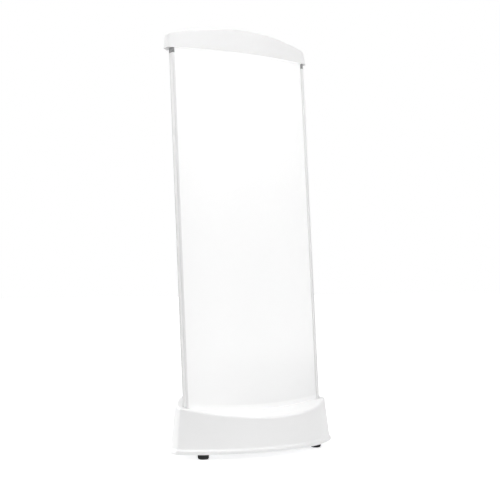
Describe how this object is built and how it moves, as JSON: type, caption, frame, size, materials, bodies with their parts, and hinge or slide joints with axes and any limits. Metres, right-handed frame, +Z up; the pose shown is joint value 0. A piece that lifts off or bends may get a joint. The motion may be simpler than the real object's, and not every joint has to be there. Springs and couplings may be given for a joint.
{
  "type": "light therapy lamp",
  "caption": "Upright light therapy desk lamp: tall frosted front, crowned cap, slim leaning column on a wide weighted base, rocker mains switch at the back.",
  "frame": {"origin": "on the table, in the middle of the base's footprint", "axes": "+Z up, -Y towards the person in front of the frosted panel, +X to that person's right"},
  "size_m": [0.243, 0.14, 0.5429],
  "materials": {
    "white_plastic": "fine satin",
    "pale_rail": "satin",
    "white_housing": "satin",
    "opal_sheet": "frosted",
    "black_rubber": "matte",
    "seal_rubber": "matte",
    "steel_sheet": "zinc plated",
    "steel_fasteners": "zinc plated",
    "cast_metal": "as cast",
    "mirror_sheet": "polished",
    "lamp_glass": "frosted",
    "lamp_plastic": "matte",
    "black_plastic": "satin",
    "brass_contacts": "plain",
    "circuit_board": "matte",
    "ferrite": "matte",
    "capacitor_sleeve": "gloss",
    "brown_wire": "matte",
    "blue_wire": "matte",
    "green_wire": "matte",
    "white_wire": "matte"
  },
  "bodies": {
    "lamp": {"back_housing": "white_housing", "ballast_board": "circuit_board", "ballast_capacitors": "capacitor_sleeve", "ballast_case": "steel_sheet", "ballast_coil": "ferrite", "ballast_lid": "steel_sheet", "base_plate": "steel_sheet", "base_screws": "steel_fasteners", "base_shell": "white_plastic", "cap_screws": "steel_fasteners", "column_foot": "cast_metal", "diffuser": "opal_sheet", "earth_lug": "brass_contacts", "earth_stud": "brass_contacts", "earth_wire": "green_wire", "foot_bolts": "steel_fasteners", "foot_front_left": "black_rubber", "foot_front_right": "black_rubber", "foot_nuts": "steel_fasteners", "foot_rear_left": "black_rubber", "foot_rear_right": "black_rubber", "foot_screws": "steel_fasteners", "inlet_pins": "brass_contacts", "lamp_tray": "steel_sheet", "left_lamp_cap": "lamp_plastic", "left_lamp_clip": "steel_fasteners", "left_lamp_harness": "white_wire", "left_lamp_holder": "lamp_plastic", "left_lamp_pins": "brass_contacts", "left_lamp_tube": "lamp_glass", "left_rail_seal": "seal_rubber", "left_side_rail": "pale_rail", "live_wire": "brown_wire", "neutral_wire": "blue_wire", "power_inlet": "black_plastic", "reflector": "mirror_sheet", "right_lamp_cap": "lamp_plastic", "right_lamp_clip": "steel_fasteners", "right_lamp_harness": "white_wire", "right_lamp_holder": "lamp_plastic", "right_lamp_pins": "brass_contacts", "right_lamp_tube": "lamp_glass", "right_rail_seal": "seal_rubber", "right_side_rail": "pale_rail", "supply_wires": "white_wire", "switch_housing": "black_plastic", "switch_terminals": "brass_contacts", "switched_wire": "brown_wire", "terminal_block": "lamp_plastic", "terminal_screws": "steel_fasteners", "top_bracket": "steel_sheet", "top_cap": "white_plastic"},
    "rocker": {"switch_rocker": "black_plastic"}
  },
  "joints": [
    {"name": "mains_rocker", "type": "hinge", "parent": "lamp", "child": "rocker", "pos_m": [-0.02, 0.0552, 0.034], "axis": [1, 0, 0], "range_deg": [-20, 0]}
  ]
}
